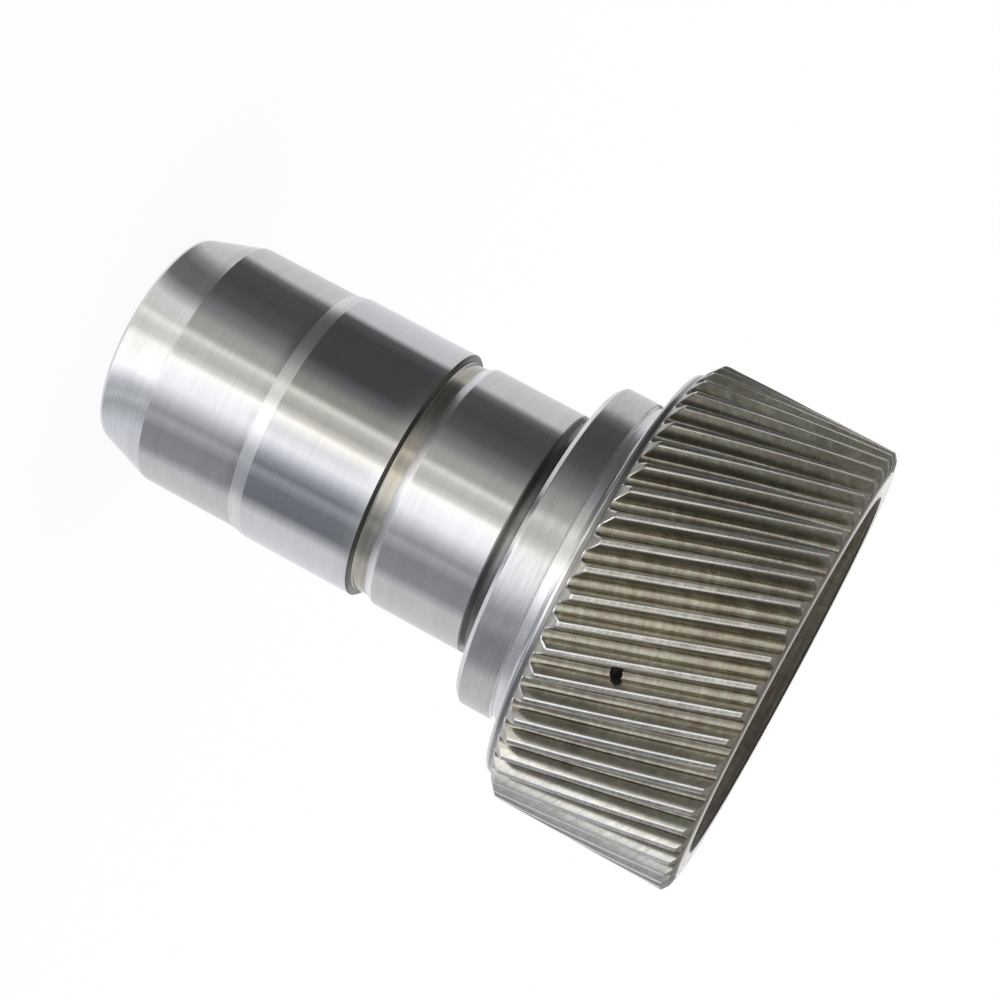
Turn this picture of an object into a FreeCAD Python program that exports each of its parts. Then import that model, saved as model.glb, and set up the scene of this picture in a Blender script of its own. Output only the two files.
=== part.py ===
import FreeCAD, Part
import math
import os

# A hollow-headed shaft, turned, hobbed and ground from one steel forging.
# The axis is Z. The small end face is on the ground plane and the toothed head is at the top.
# Lengths are millimetres and angles are degrees.

# Small end
small_end_dia = 55.8
small_end_break = 0.4
lead_taper_length = 14.4

# Journals and bearing seat, from the small end up
journal_dia = 65.0
front_journal_length = 25.9
seat_lead_length = 3.5
seat_dia = 66.5
seat_length = 30.4
seat_break = 0.5
groove_dia = 62.6
groove_floor_length = 3.9
groove_corner = 0.6
rear_lead_length = 2.3
rear_journal_length = 24.3

# Grinding relief against the collar
relief_dia = 63.0
relief_run_out = 1.6
relief_floor_length = 3.5
relief_corner = 0.8

# Collar and the neck under the head
collar_dia = 86.4
collar_face_chamfer = 1.2
collar_length = 9.9
neck_dia = 85.0
neck_chamfer_length = 0.5
neck_floor_length = 0.9
neck_fillet = 3.6

# Toothed head
shoulder_dia = 108.6
shoulder_corner = 0.6
shoulder_length = 1.8
tooth_count = 54
normal_module = 2.0
helix_angle = 18.5
normal_pressure_angle = 20.0
addendum = 2.0
dedendum = 1.55
root_fillet = 1.25
lower_cone_length = 3.2
tooth_face_length = 44.7
tip_chamfer = 1.5
rim_bevel_length = 0.4
upper_face_dia = 108.8

# Recess in the head
recess_dia = 95.2
recess_depth = 38.0
recess_mouth_chamfer = 0.5
recess_floor_corner = 2.0

# Oil hole, drilled through the rim at the bottom of one tooth space
oil_hole_dia = 3.0
oil_hole_below_top = 30.5

# Centre holes that the shaft was turned between
centre_hole_dia = 12.0
centre_hole_angle = 60.0
centre_pilot_dia = 5.0
centre_pilot_depth = 14.0

# How closely the form is followed: straight steps round each fillet, and bands along the helix
fillet_steps = 2
neck_fillet_steps = 3
helix_bands = 3
flank_points = 4
bisection_rounds = 50

# Stock that the blank has outside the tooth tips, and the wall of the ring that the teeth are cut with
tip_stock = 0.5
ring_wall = 2.0
overrun = 1.0

FULL_TURN = 360.0
UP = FreeCAD.Vector(0, 0, 1)
ORIGIN = FreeCAD.Vector(0, 0, 0)

# Heights of the steps, each from the one below it
front_journal_top = lead_taper_length + front_journal_length
seat_bottom = front_journal_top + seat_lead_length
seat_top = seat_bottom + seat_length
groove_top = seat_top + groove_floor_length
rear_journal_bottom = groove_top + rear_lead_length
rear_journal_top = rear_journal_bottom + rear_journal_length
relief_bottom = rear_journal_top + relief_run_out
collar_bottom = relief_bottom + relief_floor_length
collar_top = collar_bottom + collar_length
neck_bottom = collar_top + neck_chamfer_length
neck_top = neck_bottom + neck_floor_length
head_bottom = neck_top + neck_fillet
lower_cone_bottom = head_bottom + shoulder_length
lower_cone_top = lower_cone_bottom + lower_cone_length
tooth_top = lower_cone_top + tooth_face_length
rim_bottom = tooth_top + tip_chamfer
head_top = rim_bottom + rim_bevel_length
recess_floor = head_top - recess_depth
oil_hole_height = head_top - oil_hole_below_top

# Tooth form in the plane across the axis
transverse_module = normal_module / math.cos(math.radians(helix_angle))
pitch_radius = tooth_count * transverse_module / 2
tip_radius = pitch_radius + addendum
root_radius = pitch_radius - dedendum
pressure_angle = math.atan(
    math.tan(math.radians(normal_pressure_angle)) / math.cos(math.radians(helix_angle))
)
base_radius = pitch_radius * math.cos(pressure_angle)
twist_per_length = math.tan(math.radians(helix_angle)) / pitch_radius
angular_pitch = 2 * math.pi / tooth_count


class Outline:
    """An outline in the half plane of radius and height, drawn from point to point."""

    def __init__(self, radius, height):
        self.points = [FreeCAD.Vector(radius, 0, height)]

    def line(self, radius, height):
        self.points.append(FreeCAD.Vector(radius, 0, height))

    def revolve(self):
        closed = self.points + [self.points[0]]
        face = Part.Face(Part.makePolygon(closed))
        return face.revolve(ORIGIN, UP, FULL_TURN)


def shaft_stem(outline):
    """Small end, journals, bearing seat and the grooves between them."""
    end_radius = small_end_dia / 2
    journal = journal_dia / 2
    seat = seat_dia / 2
    groove = groove_dia / 2
    relief = relief_dia / 2
    outline.line(end_radius - small_end_break, 0)
    outline.line(end_radius, small_end_break)
    outline.line(journal, lead_taper_length)
    outline.line(journal, front_journal_top)
    outline.line(seat, seat_bottom)
    outline.line(seat, seat_top - seat_break)
    outline.line(seat - seat_break, seat_top)
    outline.line(groove + groove_corner, seat_top)
    outline.line(groove, seat_top + groove_corner)
    outline.line(groove, groove_top)
    outline.line(journal, rear_journal_bottom)
    outline.line(journal, rear_journal_top)
    outline.line(relief, relief_bottom)
    outline.line(relief, collar_bottom - relief_corner)
    outline.line(relief + relief_corner, collar_bottom)


def collar_and_neck(outline):
    """The collar, and the neck with its fillet against the underside of the head."""
    collar = collar_dia / 2
    neck = neck_dia / 2
    outline.line(collar - collar_face_chamfer, collar_bottom)
    outline.line(collar, collar_bottom + collar_face_chamfer)
    outline.line(collar, collar_top)
    outline.line(neck, neck_bottom)
    outline.line(neck, neck_top)
    for step in range(1, neck_fillet_steps + 1):
        angle = math.pi / 2 * step / neck_fillet_steps
        radius = neck + neck_fillet * (1 - math.cos(angle))
        outline.line(radius, neck_top + neck_fillet * math.sin(angle))


def head_blank(outline):
    """The head before its teeth are cut: shoulder, lower cone, stock for the teeth, chamfer and rim."""
    shoulder = shoulder_dia / 2
    stock_radius = tip_radius + tip_stock
    lower_reach = lower_cone_length * tip_stock / (tip_radius - shoulder)
    outline.line(shoulder - shoulder_corner, head_bottom)
    outline.line(shoulder, head_bottom + shoulder_corner)
    outline.line(shoulder, lower_cone_bottom)
    outline.line(stock_radius, lower_cone_top + lower_reach)
    outline.line(stock_radius, tooth_top - tip_stock)
    outline.line(tip_radius - tip_chamfer, rim_bottom)
    outline.line(upper_face_dia / 2, head_top)


def recess(outline):
    """The bored recess in the top of the head."""
    wall = recess_dia / 2
    outline.line(wall + recess_mouth_chamfer, head_top)
    outline.line(wall, head_top - recess_mouth_chamfer)
    outline.line(wall, recess_floor + recess_floor_corner)
    outline.line(wall - recess_floor_corner, recess_floor)
    outline.line(0, recess_floor)


def turned_blank():
    outline = Outline(0, 0)
    shaft_stem(outline)
    collar_and_neck(outline)
    head_blank(outline)
    recess(outline)
    return outline.revolve()


def involute(angle):
    return math.tan(angle) - angle


def flank_half_angle(radius):
    """Half of the angle that a tooth space spans at a radius."""
    tooth = math.pi / (2 * tooth_count) + involute(pressure_angle)
    tooth -= involute(math.acos(base_radius / radius))
    return angular_pitch / 2 - tooth


def at_polar(radius, angle):
    return FreeCAD.Vector(radius * math.cos(angle), radius * math.sin(angle), 0)


def flank_point(radius, side):
    return at_polar(radius, side * flank_half_angle(radius))


def fillet_seat(side):
    """Centre of a root fillet, and the radius where it meets the flank.

    The centre lies one fillet above the root circle and one fillet inside the flank.
    """
    low = root_radius
    high = tip_radius
    for _ in range(bisection_rounds):
        radius = (low + high) / 2
        slope = math.acos(base_radius / radius)
        into_space = at_polar(1, side * (flank_half_angle(radius) + slope - math.pi / 2))
        centre = flank_point(radius, side) + into_space * root_fillet
        if centre.Length < root_radius + root_fillet:
            low = radius
        else:
            high = radius
    return centre, radius


def fillet_points(side):
    """Points round a root fillet, from the root circle up to the flank."""
    centre, meets = fillet_seat(side)
    foot = centre * (root_radius / centre.Length) - centre
    join = flank_point(meets, side) - centre
    turn = -side * math.degrees(foot.getAngle(join)) / fillet_steps
    points = []
    for step in range(fillet_steps + 1):
        turned = FreeCAD.Rotation(UP, turn * step).multVec(foot)
        points.append(centre + turned)
    return points


def flank_edge(side):
    meets = fillet_seat(side)[1]
    rise = (tip_radius - meets) / (flank_points - 1)
    flank = Part.BezierCurve()
    flank.interpolate([[flank_point(meets + rise * index, side)] for index in range(flank_points)])
    return flank.toShape()


def pitch_edges():
    """One tooth space and the tooth tip beside it, in the plane across the axis."""
    left = fillet_points(-1)
    right = fillet_points(1)
    root = left[::-1] + right
    edges = [Part.LineSegment(a, b).toShape() for a, b in zip(root, root[1:])]
    edges.append(flank_edge(-1))
    edges.append(flank_edge(1))
    tip_start = flank_half_angle(tip_radius)
    tip_middle = at_polar(tip_radius, angular_pitch / 2)
    tip_end = at_polar(tip_radius, angular_pitch - tip_start)
    edges.append(Part.Arc(at_polar(tip_radius, tip_start), tip_middle, tip_end).toShape())
    return edges


def turned_edge(edge, height):
    """An edge raised to a height above the foot of the teeth, turned as the left-hand helix turns."""
    copy = edge.copy()
    copy.rotate(ORIGIN, UP, -math.degrees(twist_per_length * height))
    copy.translate(UP * height)
    return copy


def tooth_tunnel(length):
    """The walls of a tunnel with the whole ring of teeth as its inside."""
    pitch = pitch_edges()
    band = length / helix_bands
    walls = []
    for index in range(helix_bands):
        for edge in pitch:
            low = turned_edge(edge, band * index)
            high = turned_edge(edge, band * (index + 1))
            walls.append(Part.makeRuledSurface(low, high))
    ring = []
    for tooth in range(tooth_count):
        for wall in walls:
            copy = wall.copy()
            copy.rotate(ORIGIN, UP, math.degrees(tooth * angular_pitch))
            ring.append(copy)
    return ring


def ring_end(height):
    """A flat end of the ring: a disc with the section of the teeth cut out of it."""
    pitch = pitch_edges()
    edges = []
    for tooth in range(tooth_count):
        for edge in pitch:
            copy = turned_edge(edge, height)
            copy.rotate(ORIGIN, UP, math.degrees(tooth * angular_pitch))
            edges.append(copy)
    section = Part.Wire(Part.__sortEdges__(edges))
    rim = Part.Wire(Part.makeCircle(tip_radius + ring_wall, UP * height))
    return Part.makeFace([rim, section], "Part::FaceMakerBullseye")


def tooth_ring():
    """Everything outside the teeth, as a ring whose inside has the form of the tooth spaces."""
    length = head_top - lower_cone_bottom
    outside = Part.makeCylinder(tip_radius + ring_wall, length).Faces[0]
    shell = Part.makeShell(tooth_tunnel(length) + [ring_end(0), ring_end(length), outside])
    shell.sewShape()
    ring = Part.makeSolid(shell.Shells[0])
    ring.translate(UP * lower_cone_bottom)
    start = math.degrees(twist_per_length * (oil_hole_height - lower_cone_bottom))
    ring.rotate(ORIGIN, UP, start)
    return ring


def oil_hole():
    start = FreeCAD.Vector(recess_dia / 2 - overrun, 0, oil_hole_height)
    length = tip_radius + 2 * overrun - recess_dia / 2
    return Part.makeCylinder(oil_hole_dia / 2, length, start, FreeCAD.Vector(1, 0, 0))


def centre_hole(height, direction):
    """A 60 degree centre with its pilot, drilled from a face into the shaft."""
    cone_depth = centre_hole_dia / 2 / math.tan(math.radians(centre_hole_angle / 2))
    face = FreeCAD.Vector(0, 0, height)
    cone = Part.makeCone(centre_hole_dia / 2, 0, cone_depth, face, direction)
    pilot = Part.makeCylinder(centre_pilot_dia / 2, centre_pilot_depth, face, direction)
    return cone.fuse(pilot)


def splined_shaft():
    cutters = [tooth_ring(), oil_hole(), centre_hole(0, UP), centre_hole(recess_floor, UP * -1)]
    return turned_blank().cut(cutters)


os.makedirs("parts", exist_ok=True)
shaft = splined_shaft()
shaft.exportStep("parts/splined_shaft.step")
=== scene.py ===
import math
import bmesh
import bpy
from mathutils import Matrix, Vector


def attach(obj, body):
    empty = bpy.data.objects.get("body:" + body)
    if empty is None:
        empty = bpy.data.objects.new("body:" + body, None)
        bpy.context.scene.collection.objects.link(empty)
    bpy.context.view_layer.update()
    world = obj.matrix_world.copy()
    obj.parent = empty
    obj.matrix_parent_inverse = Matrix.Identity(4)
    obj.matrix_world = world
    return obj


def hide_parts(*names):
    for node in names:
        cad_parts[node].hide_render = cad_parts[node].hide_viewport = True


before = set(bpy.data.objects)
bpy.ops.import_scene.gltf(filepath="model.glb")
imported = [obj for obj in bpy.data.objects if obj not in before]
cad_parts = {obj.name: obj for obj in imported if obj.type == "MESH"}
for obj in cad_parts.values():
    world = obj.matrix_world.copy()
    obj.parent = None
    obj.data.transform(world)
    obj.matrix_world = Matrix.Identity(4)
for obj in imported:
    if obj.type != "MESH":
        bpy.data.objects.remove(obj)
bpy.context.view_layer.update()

# All sizes are in millimetres and angles in radians until a mesh is made.
MM = 0.001
TEETH = 54
PITCH = 2 * math.pi / TEETH
HELIX = math.radians(18.5)
NORMAL_MODULE = 2.0
PITCH_RADIUS = TEETH * NORMAL_MODULE / math.cos(HELIX) / 2
TIP = PITCH_RADIUS + 1.99
ROOT = PITCH_RADIUS - 1.55
FILLET = 1.25
TWIST = math.tan(HELIX) / PITCH_RADIUS
PRESSURE = math.atan(math.tan(math.radians(20)) / math.cos(HELIX))
BASE = PITCH_RADIUS * math.cos(PRESSURE)

# How the teeth's edges are finished. The two flanks of a space are relieved by different widths at the tip.
EDGE_ROUND = 0.3
EDGE_STEPS = (0.2, 0.4, 0.6, 0.8)
FRONT_RELIEF = 0.08
BACK_RELIEF = 0.32
RELIEF_DEPTH = 2.2
OUTLINE = 0.3
FIRST_LEVEL = 0.2

OIL_HOLE_Z = 145.8
OIL_HOLE_RADIUS = 1.5
DRILL_CENTRE = 52
DRILL_LENGTH = 20
DRILL_SEGMENTS = 40

STEM_SEGMENTS = 324
TENT_SEGMENTS = 180
LID_CORNERS = 100

# Turned steps, small end at z 0
SMALL_END = (
    (0, 14.0, "hole"), (2.5, 14.0, "hole"), (2.5, 6.062, "hole"), (6.0, 0, "end"),
    (27.5, 0, "taper"), (27.9, 0.4, "taper"), (32.4, 14.1, "taper"), (32.5, 14.5, "ground"),
    (32.5, 40.2, "lead"), (32.56, 40.5, "lead"), (33.2, 43.6, "lead"), (33.25, 43.9, "seat"),
    (33.25, 73.7, "wall"), (32.75, 74.2, "wall"), (31.9, 74.2, "wall"), (31.48, 74.38, "groove"),
    (31.3, 74.8, "groove"), (31.3, 78.1, "rear_lead"), (32.45, 80.25, "rear_lead"), (32.5, 80.5, "ground"),
    (32.5, 104.6, "relief"), (32.42, 105.0, "relief"), (31.6, 106.1, "relief"), (31.5, 106.5, "relief"),
    (31.5, 109.0, "relief"), (31.73, 109.57, "relief"), (32.3, 109.8, "collar_face"),
    (41.9, 109.8, "edge"), (43.1, 110.95, "edge"), (43.2, 111.2, "collar"), (43.2, 119.6, "edge"),
    (43.1, 119.8, "edge"), (42.6, 120.15, "neck"), (42.5, 120.3, "neck"),
)
NECK = (
    (42.5, 120.3, "neck"), (42.5, 121.1, "neck"), (42.77, 122.48, "neck"), (43.55, 123.65, "neck"),
    (44.72, 124.43, "neck"), (46.1, 124.7, "head_face"), (53.3, 124.7, "edge"), (53.68, 124.78, "edge"),
    (54.01, 124.99, "edge"), (54.22, 125.32, "edge"), (54.3, 125.7, "shoulder"),
)
LOWER_CONE = ((54.3, 126.5), (56.6, 127.75), (TIP, 129.7))
# Above the teeth: the end ring's edge, a shallow bevel in which the spaces run out, and a chamfer on the tips
UPPER_CONE = ((54.4, 176.05), (55.3, 175.65), (57.44, 175.5), (TIP, 174.4))
RECESS = (
    (54.4, 176.05, "end_ring"), (54.1, 176.29, "end_ring"), (48.1, 176.29, "mouth"), (47.6, 175.8, "recess"),
    (47.6, 140.3, "recess"), (45.6, 138.3, "recess_floor_painted_shade"), (6.0, 138.3, "hole"), (2.5, 132.238, "hole"),
    (2.5, 124.3, "hole"), (0, 124.3, "hole"),
)


def polar(radius, angle, z=0.0):
    return Vector((radius * math.cos(angle), radius * math.sin(angle), z))


def as_polar(point):
    return point.length, math.atan2(point.y, point.x)


def half_space(radius, relief=0.0):
    """Half of a tooth space's angle at a radius. Its involute flanks are relieved near the tip."""
    slope = math.acos(BASE / radius)
    tooth = math.pi / (2 * TEETH) + (math.tan(PRESSURE) - PRESSURE) - (math.tan(slope) - slope)
    near_tip = max(0.0, (radius - TIP + RELIEF_DEPTH) / RELIEF_DEPTH)
    return PITCH / 2 - tooth + relief / TIP * near_tip ** 1.5


def root_corner():
    """The radius at which the round root corner meets the flank, and the corner's centre."""
    low, high = ROOT, TIP
    for _ in range(50):
        meets = (low + high) / 2
        slope = math.acos(BASE / meets)
        inward = polar(1, half_space(meets) + slope - math.pi / 2)
        centre = polar(meets, half_space(meets)) + inward * FILLET
        if centre.length < ROOT + FILLET:
            low = meets
        else:
            high = meets
    return meets, centre


def half_section(relief, corner_points=6, flank_steps=6):
    """(radius, angle, kind) from the middle of a tooth space to the middle of the tooth beside it."""
    meets, centre = root_corner()
    join = polar(meets, half_space(meets)) - centre
    foot = centre.normalized() * ROOT - centre
    turn = foot.angle(join)
    points = [(ROOT, 0.0, "space")]
    for step in range(corner_points):
        p = centre + Matrix.Rotation(-turn * step / (corner_points - 1), 3, "Z") @ foot
        points.append((*as_polar(p), "space"))
    brink = TIP - EDGE_ROUND
    for step in range(1, flank_steps + 1):
        radius = meets + (brink - meets) * step / flank_steps
        kind = "brink" if step == flank_steps else "flank"
        points.append((radius, half_space(radius, relief), kind))
    lip = half_space(TIP, relief) + EDGE_ROUND / TIP
    start = polar(brink, half_space(brink, relief))
    corner = polar(TIP, half_space(TIP, relief))
    end = polar(TIP, lip)
    for t in EDGE_STEPS:
        p = start * (1 - t) ** 2 + corner * 2 * t * (1 - t) + end * t ** 2
        points.append((*as_polar(p), "round"))
    points.append((TIP, lip, "lip"))
    points.append((TIP, (lip + PITCH / 2) / 2, "tip"))
    points.append((TIP, PITCH / 2, "tip"))
    return points


def pitch_section():
    """The section over one pitch, and the finish of each band between its points."""
    half = half_section(FRONT_RELIEF)
    mirrored = [(r, -a, kind) for r, a, kind in half_section(BACK_RELIEF)[1:-1]][::-1]
    section = mirrored + half
    finish = []
    for index, (_, _, kind) in enumerate(section):
        pair = {kind, section[(index + 1) % len(section)][2]}
        # Each tooth's back side takes the darker copies of the flank and edge finishes, painted shade beside
        # its lit front side.
        back = index < len(mirrored)
        if "round" in pair:
            finish.append("back_edge" if back else "edge")
        elif pair <= {"lip", "tip"}:
            finish.append("tip")
        elif pair & {"flank", "brink"}:
            finish.append("back_flank" if back else "flank")
        else:
            finish.append("space")
    return section, finish


class Shell:
    """Rings of points round the axis, joined by quads, with a named finish on each band of faces."""

    def __init__(self):
        self.rings = []
        self.finishes = []

    def circle(self, radius, z, angles, finish):
        self.ring([polar(radius, a, z) for a in angles], [finish] * len(angles))

    def ring(self, points, finishes):
        self.rings.append(points)
        self.finishes.append(finishes)

    def make_points(self, bm):
        """One row of vertices a ring. A ring on the axis is one vertex, and a point where the ring below
        has one shares it."""
        rows = []
        for ring in self.rings:
            if (ring[0] - ring[1]).length < 1e-6:
                rows.append([bm.verts.new(ring[0] * MM)] * len(ring))
                continue
            below = rows[-1] if rows else [None] * len(ring)
            rows.append([v if v and (v.co / MM - p).length < 1e-4 else bm.verts.new(p * MM)
                         for p, v in zip(ring, below)])
        return rows

    def build(self, name, slots, sharp_rings=None):
        """The mesh object. sharp_rings lists the rings that stay sharp edges, and None stands for all."""
        mesh = bpy.data.meshes.new(name)
        bm = bmesh.new()
        rows = self.make_points(bm)
        count = len(self.rings[0])
        for index in range(len(rows) - 1):
            for k in range(count):
                n = (k + 1) % count
                corners = [rows[index][k], rows[index][n], rows[index + 1][n], rows[index + 1][k]]
                corners = list(dict.fromkeys(corners))
                if len(corners) > 2:
                    face = bm.faces.new(corners)
                    face.material_index = slots.index(self.finishes[index][k])
                    face.smooth = True
        for index, row in enumerate(rows):
            if sharp_rings is not None and index not in sharp_rings:
                continue
            for k in range(count):
                ends = (row[k], row[(k + 1) % count])
                edge = bm.edges.get(ends) if ends[0] != ends[1] else None
                if edge:
                    edge.smooth = False
        bmesh.ops.recalc_face_normals(bm, faces=bm.faces)
        bm.to_mesh(mesh)
        bm.free()
        return bpy.data.objects.new(name, mesh)


def even_angles(count):
    return [2 * math.pi * k / count for k in range(count)]


STEM_SLOTS = [
    "end", "taper", "ground", "lead", "rear_lead", "seat", "wall", "groove", "relief", "collar_face",
    "edge", "collar", "neck", "hole",
]
HEAD_SLOTS = [
    "neck", "head_face", "edge", "shoulder", "cone", "space", "flank", "back_flank", "back_edge", "tip",
    "chamfer", "rim", "end_ring", "mouth", "recess", "recess_floor_painted_shade", "hole",
]


def make_stem():
    shell = Shell()
    angles = even_angles(STEM_SEGMENTS)
    for radius, z, finish in SMALL_END:
        shell.circle(radius, z, angles, finish)
    return shell.build("shaft_stem", STEM_SLOTS)


def helix_angle_at(z):
    """How far the teeth have turned at a height. A space lies on +X at the oil hole."""
    return -TWIST * (z - OIL_HOLE_Z)


def height_on(profile, radius):
    for (r0, z0), (r1, z1) in zip(profile, profile[1:]):
        if radius <= r1:
            break
    return z0 + (z1 - z0) * (radius - r0) / (r1 - r0)


def inset(section, width):
    """The section moved into the metal by a width, as (radius, angle)."""
    moved = []
    count = len(section)
    for index, (r, a, _) in enumerate(section):
        before = section[index - 1]
        after = section[(index + 1) % count]
        back = polar(before[0], before[1] - (PITCH if index == 0 else 0))
        ahead = polar(after[0], after[1] + (PITCH if index == count - 1 else 0))
        way = (ahead - back).normalized()
        moved.append(as_polar(polar(r, a) + Vector((-way.y, way.x, 0)) * width))
    return moved


def round_the_teeth(section, heights):
    """One ring: the section at every tooth, each point at its own height and turned along the helix."""
    return [polar(r, a + tooth * PITCH + helix_angle_at(z), z)
            for tooth in range(TEETH) for (r, a), z in zip(section, heights)]


def ring_angles(section, heights):
    """The angles of the points of such a ring, for the plain circles beside it."""
    return [a + tooth * PITCH + helix_angle_at(z)
            for tooth in range(TEETH) for (_, a), z in zip(section, heights)]


def make_head(levels=20):
    section, finish = pitch_section()
    flat = [(r, a) for r, a, _ in section]
    low = [height_on(LOWER_CONE, r) for r, _ in flat]
    high = [height_on(UPPER_CONE, r) for r, _ in flat]
    low_angles = ring_angles(flat, low)
    high_angles = ring_angles(flat, high)
    count = len(low_angles)
    shell = Shell()
    for radius, z, name in NECK:
        shell.circle(radius, z, low_angles, name)
    shell.circle(*LOWER_CONE[0], low_angles, "cone")

    # A narrow bevel in the pale edge finish goes round the end of each space; its brightness is partly
    # painted highlight.
    outline = inset(section, OUTLINE)
    waist = [(min(r, LOWER_CONE[1][0]), a) for r, a in outline]
    for points, name in ((waist, "cone"), (outline, "edge")):
        heights = [height_on(LOWER_CONE, r) for r, _ in points]
        shell.ring(round_the_teeth(points, heights), [name] * count)

    first = len(shell.rings)
    for level in range(levels + 1):
        share = level / levels
        heights = [z0 + FIRST_LEVEL + (z1 - z0 - FIRST_LEVEL) * share for z0, z1 in zip(low, high)]
        names = finish * TEETH if level < levels else ["chamfer"] * count
        shell.ring(round_the_teeth(flat, heights), names)
    last = len(shell.rings) - 1

    brow = [min(r, UPPER_CONE[2][0]) for r, _ in flat] * TEETH
    shell.ring([polar(r, a, height_on(UPPER_CONE, r)) for r, a in zip(brow, high_angles)], ["rim"] * count)
    for radius, z, name in RECESS:
        shell.circle(radius, z, high_angles, name)
    sharp = [k for k in range(len(shell.rings)) if not first < k < last]
    return shell.build("toothed_head", HEAD_SLOTS, sharp)


def edit_mesh(mesh, change):
    """Runs one change on a mesh through bmesh."""
    bm = bmesh.new()
    bm.from_mesh(mesh)
    change(bm)
    bm.to_mesh(mesh)
    bm.free()


def close_neck(bm):
    """A lid on the open neck makes the head a closed solid, which the boolean needs."""
    rim = [e for e in bm.edges if e.is_boundary]
    for face in bmesh.ops.contextual_create(bm, geom=rim)["faces"]:
        face.material_index = HEAD_SLOTS.index("neck")


def open_neck(bm):
    lids = [f for f in bm.faces if len(f.verts) > LID_CORNERS]
    bmesh.ops.delete(bm, geom=lids, context="FACES_ONLY")


def make_drill(finishes):
    """A plain cylinder that lies along X at the oil hole, with the head's slots."""
    place = Vector((DRILL_CENTRE, 0, OIL_HOLE_Z)) * MM
    turned = Matrix.Translation(place) @ Matrix.Rotation(math.pi / 2, 4, "Y")
    mesh = bpy.data.meshes.new("oil_hole_drill")
    bm = bmesh.new()
    bmesh.ops.create_cone(bm, cap_ends=True, segments=DRILL_SEGMENTS, radius1=OIL_HOLE_RADIUS * MM,
                          radius2=OIL_HOLE_RADIUS * MM, depth=DRILL_LENGTH * MM, matrix=turned)
    bm.to_mesh(mesh)
    bm.free()
    for name in HEAD_SLOTS:
        mesh.materials.append(finishes[name])
    for polygon in mesh.polygons:
        polygon.material_index = HEAD_SLOTS.index("hole")
    drill = bpy.data.objects.new("oil_hole_drill", mesh)
    bpy.context.scene.collection.objects.link(drill)
    return drill


def drill_oil_hole(head, finishes):
    """The hole runs from the bottom of one tooth space into the recess."""
    edit_mesh(head.data, close_neck)
    drill = make_drill(finishes)
    cut = head.modifiers.new("oil_hole", "BOOLEAN")
    cut.operation = "DIFFERENCE"
    cut.object = drill
    cut.solver = "EXACT"
    bpy.context.view_layer.update()
    graph = bpy.context.evaluated_depsgraph_get()
    done = bpy.data.meshes.new_from_object(head.evaluated_get(graph))
    head.modifiers.clear()
    head.data = done
    bpy.data.objects.remove(drill)
    edit_mesh(done, open_neck)


# Nodes

def link(tree, a, b):
    tree.links.new(a, b)


def maths(tree, operation, a, b=None):
    n = tree.nodes.new("ShaderNodeMath")
    n.operation = operation
    for index, value in enumerate((a, b)):
        if value is None:
            continue
        if isinstance(value, (int, float)):
            n.inputs[index].default_value = value
        else:
            link(tree, value, n.inputs[index])
    return n.outputs[0]


def object_place(tree):
    return tree.nodes.new("ShaderNodeTexCoord").outputs["Object"]


def split_place(tree):
    """x, y and z of a point on the object, and its distance from the axis."""
    split = tree.nodes.new("ShaderNodeSeparateXYZ")
    link(tree, object_place(tree), split.inputs[0])
    x, y, z = split.outputs
    squares = maths(tree, "ADD", maths(tree, "MULTIPLY", x, x), maths(tree, "MULTIPLY", y, y))
    return x, y, z, maths(tree, "SQRT", squares)


def ring_coordinates(tree, round_scale, length_scale):
    """Coordinates that change slowly round the axis and fast along it, so a noise draws turning lines."""
    x, y, z, radius = split_place(tree)
    along_z = maths(tree, "MULTIPLY", z, length_scale)
    along_radius = maths(tree, "MULTIPLY", radius, length_scale * 0.7)
    join = tree.nodes.new("ShaderNodeCombineXYZ")
    for index, part in enumerate((x, y)):
        around = maths(tree, "MULTIPLY", maths(tree, "DIVIDE", part, radius), round_scale)
        link(tree, around, join.inputs[index])
    link(tree, maths(tree, "ADD", along_z, along_radius), join.inputs[2])
    return join.outputs[0]


def noise(tree, vector, scale=1.0, detail=3.0, roughness=0.6):
    n = tree.nodes.new("ShaderNodeTexNoise")
    n.inputs["Scale"].default_value = scale
    n.inputs["Detail"].default_value = detail
    n.inputs["Roughness"].default_value = roughness
    link(tree, vector, n.inputs["Vector"])
    return n.outputs["Fac"]


def ramp(tree, factor, stops):
    n = tree.nodes.new("ShaderNodeValToRGB")
    elements = n.color_ramp.elements
    while len(elements) < len(stops):
        elements.new(0.5)
    for element, (position, colour) in zip(elements, stops):
        element.position = position
        element.color = (*colour, 1)
    link(tree, factor, n.inputs[0])
    return n.outputs[0]


def spread(tree, value, low, high, to_low, to_high):
    n = tree.nodes.new("ShaderNodeMapRange")
    link(tree, value, n.inputs["Value"])
    n.inputs["From Min"].default_value = low
    n.inputs["From Max"].default_value = high
    n.inputs["To Min"].default_value = to_low
    n.inputs["To Max"].default_value = to_high
    return n.outputs["Result"]


def mix_colours(tree, share, below, above, blend="MIX"):
    """below covered by above, which is a socket or a colour, as far as share says, a socket or a number."""
    n = tree.nodes.new("ShaderNodeMix")
    n.data_type = "RGBA"
    n.blend_type = blend
    for index, value in ((0, share), (6, below), (7, above)):
        if isinstance(value, (float, tuple)):
            n.inputs[index].default_value = value
        else:
            link(tree, value, n.inputs[index])
    return n.outputs[2]


# Finishes

def grey(level, warmth=0.0):
    return (level * (1 + warmth), level, level * (1 - warmth * 1.4))


# An oily olive and brown mottle, as tones that multiply the steel's own
MOTTLE = (
    (0.30, (0.62, 0.50, 0.42)), (0.44, (0.86, 0.76, 0.70)), (0.54, (0.90, 0.93, 0.80)),
    (0.70, (1.25, 1.22, 1.15)),
)
LINE_DEPTH = 0.00005


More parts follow.
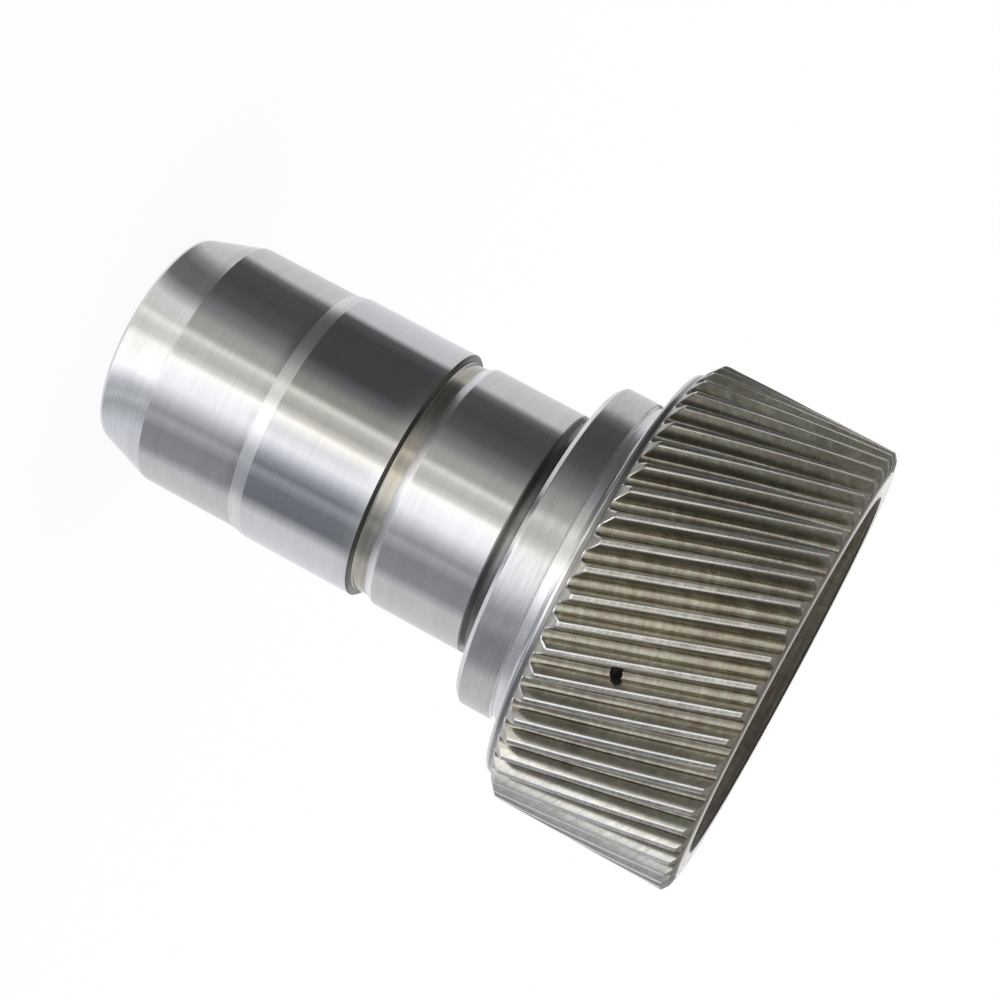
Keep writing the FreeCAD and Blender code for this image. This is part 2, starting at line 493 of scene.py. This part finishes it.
def turned_steel(name, dark, light, rough, lines=900, depth=0.15, anisotropic=0.5, round_scale=1.6,
                 stain=0.0):
    """Steel with turning or grinding lines round the axis. dark and light are its two tones, and stain is
    how far the mottle shows."""
    material = bpy.data.materials.new(name)
    material.use_nodes = True
    tree = material.node_tree
    bsdf = tree.nodes["Principled BSDF"]
    bsdf.inputs["Metallic"].default_value = 1.0
    bsdf.inputs["Anisotropic"].default_value = anisotropic
    bsdf.inputs["Anisotropic Rotation"].default_value = 0.25
    fine = noise(tree, ring_coordinates(tree, round_scale, lines), detail=4.0, roughness=0.7)
    broad = noise(tree, ring_coordinates(tree, 1.2, lines / 9), detail=2.0)
    mixed = maths(tree, "ADD", maths(tree, "MULTIPLY", fine, 0.65), maths(tree, "MULTIPLY", broad, 0.35))
    colour = ramp(tree, mixed, ((0.36, dark), (0.64, light)))
    if stain:
        spots = noise(tree, object_place(tree), scale=430.0, detail=6.0, roughness=0.8)
        colour = mix_colours(tree, stain, colour, ramp(tree, spots, MOTTLE), blend="MULTIPLY")
    link(tree, colour, bsdf.inputs["Base Color"])
    link(tree, spread(tree, mixed, 0.3, 0.7, rough * 1.25, rough * 0.8), bsdf.inputs["Roughness"])
    bump = tree.nodes.new("ShaderNodeBump")
    bump.inputs["Strength"].default_value = depth
    bump.inputs["Distance"].default_value = LINE_DEPTH
    link(tree, fine, bump.inputs["Height"])
    link(tree, bump.outputs[0], bsdf.inputs["Normal"])
    tangent = tree.nodes.new("ShaderNodeTangent")
    tangent.direction_type = "RADIAL"
    tangent.axis = "Z"
    link(tree, tangent.outputs[0], bsdf.inputs["Tangent"])
    return material


finishes = {
    "ground": turned_steel("ground_journal", grey(0.64), grey(0.73), 0.08,
                           lines=2600, depth=0.05, anisotropic=0.8),
    "seat": turned_steel("ground_seat", grey(0.64), grey(0.71), 0.07,
                         lines=3000, depth=0.04, anisotropic=0.8),
    "taper": turned_steel("turned_taper", grey(0.60), grey(0.76), 0.15, lines=1500, depth=0.12),
    "lead": turned_steel("turned_lead_in", grey(0.78), grey(0.94), 0.26, lines=1500, depth=0.1),
    "rear_lead": turned_steel("turned_rear_lead", grey(0.84), grey(0.96), 0.32, lines=1500, depth=0.1),
    # Painted shade: the step into the groove is near black, standing in for the shade in that corner.
    "wall": turned_steel("groove_wall_painted_shade", (0.07, 0.07, 0.06), (0.12, 0.12, 0.11), 0.3, lines=1500, depth=0.1),
    "groove": turned_steel("turned_groove", (0.40, 0.37, 0.32), (0.58, 0.55, 0.48), 0.12,
                           lines=1800, depth=0.12),
    # Painted shade: the relief beside the collar has a dark base that stands in for the shade under the
    # collar.
    "relief": turned_steel("turned_relief_painted_shade", (0.15, 0.15, 0.14), (0.28, 0.275, 0.26), 0.24,
                           lines=1800, depth=0.12),
    "collar": turned_steel("turned_collar", grey(0.54), grey(0.67), 0.20,
                           lines=1100, depth=0.15, round_scale=5),
    "collar_face": turned_steel("turned_collar_face", grey(0.36), grey(0.5), 0.35, lines=1100, depth=0.2),
    # Partly painted highlight: a paler copy of the steel that brightens chamfers and rounded edges.
    "edge": turned_steel("bright_edge_painted_highlight", grey(0.72), grey(0.90), 0.18, lines=1200, depth=0.05),
    "end": turned_steel("small_end_face", grey(0.45), grey(0.6), 0.32, lines=1100, depth=0.2),
    "neck": turned_steel("turned_neck", grey(0.78), grey(0.93), 0.26, lines=1300, depth=0.12),
    "head_face": turned_steel("head_underside", grey(0.8), grey(0.92), 0.36, lines=1200, depth=0.2),
    # Painted shade: the shoulder has a darker base that stands in for the shade under the toothed head.
    "shoulder": turned_steel("head_shoulder_painted_shade", grey(0.28), grey(0.44), 0.12, lines=1500, depth=0.1),
    "cone": turned_steel("tooth_end_cone", (0.48, 0.47, 0.46), (0.76, 0.75, 0.74), 0.34,
                         lines=1500, depth=0.1, stain=0.8),
    "space": turned_steel("tooth_root", (0.37, 0.355, 0.325), (0.51, 0.495, 0.455), 0.17,
                          lines=600, depth=0.1, stain=0.95),
    # Painted light and shade: the two flanks of a tooth are lit and shaded copies of one steel, the front
    # flank paler and the back flank darker, with the mottle on both.
    "flank": turned_steel("tooth_flank_painted_light", (0.62, 0.61, 0.58), (0.84, 0.825, 0.79), 0.24,
                          lines=600, depth=0.1, stain=0.5),
    "back_flank": turned_steel("tooth_back_flank_painted_shade", (0.25, 0.245, 0.22), (0.37, 0.365, 0.335), 0.30,
                               lines=600, depth=0.1, stain=1.0),
    # Painted shade: a darker copy of the edge finish, for the back side of each tooth tip.
    "back_edge": turned_steel("tooth_back_edge_painted_shade", (0.50, 0.49, 0.45), (0.68, 0.665, 0.62), 0.15,
                              lines=1200, depth=0.05),
    "tip": turned_steel("tooth_tip", (0.30, 0.29, 0.27), (0.66, 0.645, 0.61), 0.28,
                        lines=1700, depth=0.16, stain=0.45),
    "chamfer": turned_steel("tooth_tip_chamfer", (0.40, 0.36, 0.35), (0.56, 0.51, 0.50), 0.32,
                            lines=900, depth=0.2, stain=0.7),
    # Partly painted shade: the rim bevel's darker base stands in for shade at the head's end; the mottle on
    # it is a stain.
    "rim": turned_steel("head_rim_bevel_painted_shade", (0.24, 0.23, 0.21), (0.34, 0.33, 0.30), 0.32,
                        lines=900, depth=0.2, stain=0.8),
    "end_ring": turned_steel("head_end_ring", (0.66, 0.60, 0.54), (0.78, 0.72, 0.66), 0.2,
                             lines=1500, depth=0.1),
    # Painted shade: the recess's mouth is near black, standing in for the shade inside the bore.
    "mouth": turned_steel("recess_mouth_painted_shade", (0.05, 0.045, 0.04), (0.09, 0.085, 0.08), 0.3,
                          lines=1500, depth=0.1),
    # Painted shade: the recess wall and floor have darker bases that stand in for the shade inside the bore;
    # the mottle on the wall is a stain.
    "recess": turned_steel("recess_wall_painted_shade", (0.21, 0.195, 0.17), (0.45, 0.425, 0.39), 0.36,
                           lines=900, depth=0.2, stain=0.9),
    "recess_floor_painted_shade": turned_steel("recess_floor_painted_shade", (0.30, 0.29, 0.27), (0.42, 0.41, 0.39), 0.4,
                                 lines=1300, depth=0.2),
    # Painted shade: the drilled holes are near black, standing in for the shade inside them.
    "hole": turned_steel("drilled_hole_painted_shade", grey(0.10, 0.1), grey(0.16, 0.1), 0.5, lines=1300, depth=0.1),
}

stem = make_stem()
head = make_head()
for piece, slots in ((stem, STEM_SLOTS), (head, HEAD_SLOTS)):
    bpy.context.scene.collection.objects.link(piece)
    for name in slots:
        piece.data.materials.append(finishes[name])
drill_oil_hole(head, finishes)

for piece in (stem, head):
    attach(piece, "root")
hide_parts("splined_shaft")
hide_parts("splined_shaft")


# Camera. Its place and its three directions were fitted to the photograph's turned edges, and are given
# along the level direction towards the camera, the one across it, and the shaft's axis.
VIEW_AZIMUTH = math.radians(-18.3)
CAMERA_DISTANCE = 590.0
CAMERA_HEIGHT = 200.9
CAMERA_ROLL = math.radians(28)
CAMERA_LENS = 88.37
towards = Vector((math.cos(VIEW_AZIMUTH), math.sin(VIEW_AZIMUTH), 0))
across = Vector((-math.sin(VIEW_AZIMUTH), math.cos(VIEW_AZIMUTH), 0))
up = Vector((0, 0, 1))
forward = -0.98431 * towards - 0.00763 * across - 0.1763 * up
along = 0.9843 * up - 0.17626 * towards - 0.00523 * across
down = 0.0038 * up - 0.00843 * towards + 0.99993 * across
right = (along * math.cos(CAMERA_ROLL) - down * math.sin(CAMERA_ROLL)).normalized()
back = -forward.normalized()
above = back.cross(right).normalized()
right = above.cross(back)
camera_data = bpy.data.cameras.new("camera")
camera_data.lens = CAMERA_LENS
camera_data.sensor_width = 36.0
camera_data.clip_start = 0.01
camera_data.clip_end = 20.0
camera = bpy.data.objects.new("camera", camera_data)
bpy.context.scene.collection.objects.link(camera)
camera_place = (towards * CAMERA_DISTANCE + up * CAMERA_HEIGHT) * MM
camera_turn = Matrix((right, above, back)).transposed().to_4x4()
camera.matrix_world = Matrix.Translation(camera_place) @ camera_turn
bpy.context.scene.camera = camera

# Floor. Rays from the camera and from the steel see it glow evenly, and it keeps a trace of the shadow.
FLOOR_HALF = 4
FLOOR_COLOUR = (0.96, 0.96, 0.96, 1)
FLOOR_GLOW = 0.9
corners = [(-FLOOR_HALF, -FLOOR_HALF, 0), (FLOOR_HALF, -FLOOR_HALF, 0), (FLOOR_HALF, FLOOR_HALF, 0),
           (-FLOOR_HALF, FLOOR_HALF, 0)]
floor_mesh = bpy.data.meshes.new("floor")
floor_mesh.from_pydata(corners, [], [(0, 1, 2, 3)])
floor = bpy.data.objects.new("floor", floor_mesh)
bpy.context.scene.collection.objects.link(floor)
floor_material = bpy.data.materials.new("floor_white")
floor_material.use_nodes = True
tree = floor_material.node_tree
tree.nodes.clear()
output = tree.nodes.new("ShaderNodeOutputMaterial")
diffuse = tree.nodes.new("ShaderNodeBsdfDiffuse")
diffuse.inputs["Color"].default_value = FLOOR_COLOUR
glow = tree.nodes.new("ShaderNodeEmission")
blend = tree.nodes.new("ShaderNodeMixShader")
rays = tree.nodes.new("ShaderNodeLightPath")
mirrored = maths(tree, "MAXIMUM", rays.outputs["Is Glossy Ray"], rays.outputs["Is Transmission Ray"])
seen = maths(tree, "MAXIMUM", rays.outputs["Is Camera Ray"], mirrored)
link(tree, maths(tree, "MULTIPLY", seen, FLOOR_GLOW), blend.inputs[0])
link(tree, diffuse.outputs[0], blend.inputs[1])
link(tree, glow.outputs[0], blend.inputs[2])
link(tree, blend.outputs[0], output.inputs[0])
floor_mesh.materials.append(floor_material)

# World
world = bpy.data.worlds.new("studio")
bpy.context.scene.world = world
world.use_nodes = True
background = world.node_tree.nodes["Background"]
background.inputs["Color"].default_value = (1, 1, 1, 1)
background.inputs["Strength"].default_value = 1.0

# A light tent with pale and dark cloths stands round the shaft. The steel shows it and the camera doesn't.
# It stays where it is in every view. Each entry is a place across the shaft, from -1 to 1 as seen from the
# photograph's side, and the brightness of the cloth that the steel mirrors there. The values were listed
# and changed until the render's bands came near grey levels measured in the photograph.
JOURNAL_CLOTHS = (
    (-1.0, 0.78), (-0.83, 0.7), (-0.785, 0.19), (-0.74, 0.1), (-0.6, 0.085), (-0.46, 0.12), (-0.33, 0.28),
    (-0.26, 0.46), (-0.17, 0.52), (-0.125, 1.0), (-0.08, 0.75), (-0.02, 0.68), (0.035, 0.95), (0.075, 1.5),
    (0.14, 1.4), (0.25, 1.25), (0.37, 0.65), (0.44, 0.4), (0.49, 0.5), (0.57, 0.32), (0.72, 0.35),
    (0.8, 0.68), (1.0, 0.8),
)
SEAT_CLOTHS = (
    (-1.0, 0.9), (-0.82, 0.72), (-0.78, 0.13), (-0.7, 0.075), (-0.4, 0.08), (-0.3, 0.2), (-0.24, 0.34),
    (-0.17, 0.4), (-0.125, 1.0), (-0.08, 0.7), (-0.02, 0.58), (0.035, 0.9), (0.075, 1.5), (0.16, 1.1),
    (0.25, 1.25), (0.37, 0.5), (0.44, 0.26), (0.49, 0.42), (0.56, 0.24), (0.69, 0.22), (0.79, 0.8),
    (1.0, 0.9),
)
TAPER_CLOTHS = (
    (-1.0, 0.85), (-0.8, 0.68), (-0.7, 0.3), (-0.62, 0.17), (-0.46, 0.2), (-0.37, 0.5), (-0.3, 0.88),
    (-0.17, 0.83), (-0.13, 1.15), (-0.06, 0.85), (0.0, 0.9), (0.06, 1.4), (0.29, 1.5), (0.41, 0.72),
    (0.47, 0.6), (0.52, 0.67), (0.58, 0.5), (0.74, 0.78), (1.0, 0.85),
)
HEAD_CLOTHS = (
    (-1.0, 0.24), (-0.92, 0.22), (-0.82, 0.14), (-0.65, 0.13), (-0.5, 0.12), (-0.4, 0.15), (-0.3, 0.3),
    (-0.22, 0.5), (-0.12, 0.85), (-0.03, 0.95), (0.1, 1.1), (0.25, 1.0), (0.32, 0.75), (0.4, 0.45),
    (0.5, 0.34), (0.6, 0.34), (0.7, 0.45), (0.8, 0.62), (0.9, 0.85), (0.96, 1.1), (1.0, 1.2),
)
BRIGHTEST = 1.5
SEAT_TINT = 1.6
ROOF = 1.27
TOP = 0.37
# Where one zone of cloths passes into the next, in metres: heights, and for the taper a distance from
# the axis
SEAT_STARTS = (0.0235, 0.0265)
SEAT_ENDS = (0.055, 0.060)
TAPER_ENDS = (0.058, 0.061)
HEAD_STARTS = (0.115, 0.119)
ROOF_STARTS = (0.177, 0.180)
TOP_STARTS = (0.188, 0.192)
TENT = ((28.3, 0.3), (62, 0.3), (74, 14), (110, 90), (150, 190), (170, 240), (0.5, 262))


def tint(place, level, strength):
    """The cloths are a little warm to the left of the middle and a little blue elsewhere."""
    warm, cool = 0.0, 0.02
    if -0.3 < place < 0.12:
        warm, cool = 0.06, 0.0
    elif 0.3 < place < 0.75:
        cool = 0.06
    return (level * (1 - cool * 0.8 * strength), level * (1 - (warm * 0.25 + cool * 0.3) * strength),
            level * (1 + (cool - warm) * strength))


def wall_azimuth(place):
    """Where on the wall of the tent the camera sees a place across a journal mirrored."""
    return 2 * math.asin(place) - math.asin(place * 0.36)


def foot_azimuth(place):
    """The same for the taper, whose mirror image is close by on the floor."""
    return 1.3 * math.asin(place)


def cloths(tree, turn, table, azimuth, strength=1.0):
    stops = [(azimuth(at) / (2 * math.pi) + 0.5, [c / BRIGHTEST for c in tint(at, level, strength)])
             for at, level in table]
    return ramp(tree, turn, stops)


def even_cloth(level):
    share = level / BRIGHTEST
    return (share, share, share, 1)


def rises(tree, value, zone):
    return spread(tree, value, *zone, 0, 1)


def falls(tree, value, zone):
    return spread(tree, value, *zone, 1, 0)


def tent_brightness(tree):
    """The colour of the cloths all over the tent, zone by zone from the floor to the top."""
    x, y, z, radius = split_place(tree)
    azimuth = maths(tree, "SUBTRACT", maths(tree, "ARCTAN2", y, x), VIEW_AZIMUTH - math.pi)
    turn = maths(tree, "FRACT", maths(tree, "DIVIDE", azimuth, 2 * math.pi))
    seat = cloths(tree, turn, SEAT_CLOTHS, wall_azimuth, SEAT_TINT)
    taper = cloths(tree, turn, TAPER_CLOTHS, foot_azimuth)
    toothed = cloths(tree, turn, HEAD_CLOTHS, wall_azimuth)
    at_seat = maths(tree, "MINIMUM", rises(tree, z, SEAT_STARTS), falls(tree, z, SEAT_ENDS))
    wall = cloths(tree, turn, JOURNAL_CLOTHS, wall_azimuth)
    wall = mix_colours(tree, at_seat, wall, seat)
    wall = mix_colours(tree, falls(tree, radius, TAPER_ENDS), wall, taper)
    wall = mix_colours(tree, rises(tree, z, HEAD_STARTS), wall, toothed)
    wall = mix_colours(tree, rises(tree, z, ROOF_STARTS), wall, even_cloth(ROOF))
    return mix_colours(tree, rises(tree, z, TOP_STARTS), wall, even_cloth(TOP))


tent_shell = Shell()
for radius, z in TENT:
    tent_shell.circle(radius, z, even_angles(TENT_SEGMENTS), "cloth")
tent = tent_shell.build("light_tent", ["cloth"])
bpy.context.scene.collection.objects.link(tent)
tent_material = bpy.data.materials.new("tent_cloth")
tent_material.use_nodes = True
tree = tent_material.node_tree
tree.nodes.clear()
output = tree.nodes.new("ShaderNodeOutputMaterial")
glow = tree.nodes.new("ShaderNodeEmission")
link(tree, tent_brightness(tree), glow.inputs["Color"])
glow.inputs["Strength"].default_value = BRIGHTEST
link(tree, glow.outputs[0], output.inputs[0])
tent.data.materials.append(tent_material)
tent.visible_camera = False
tent.visible_diffuse = False
tent.visible_shadow = False

scene = bpy.context.scene
scene.view_settings.view_transform = "Standard"
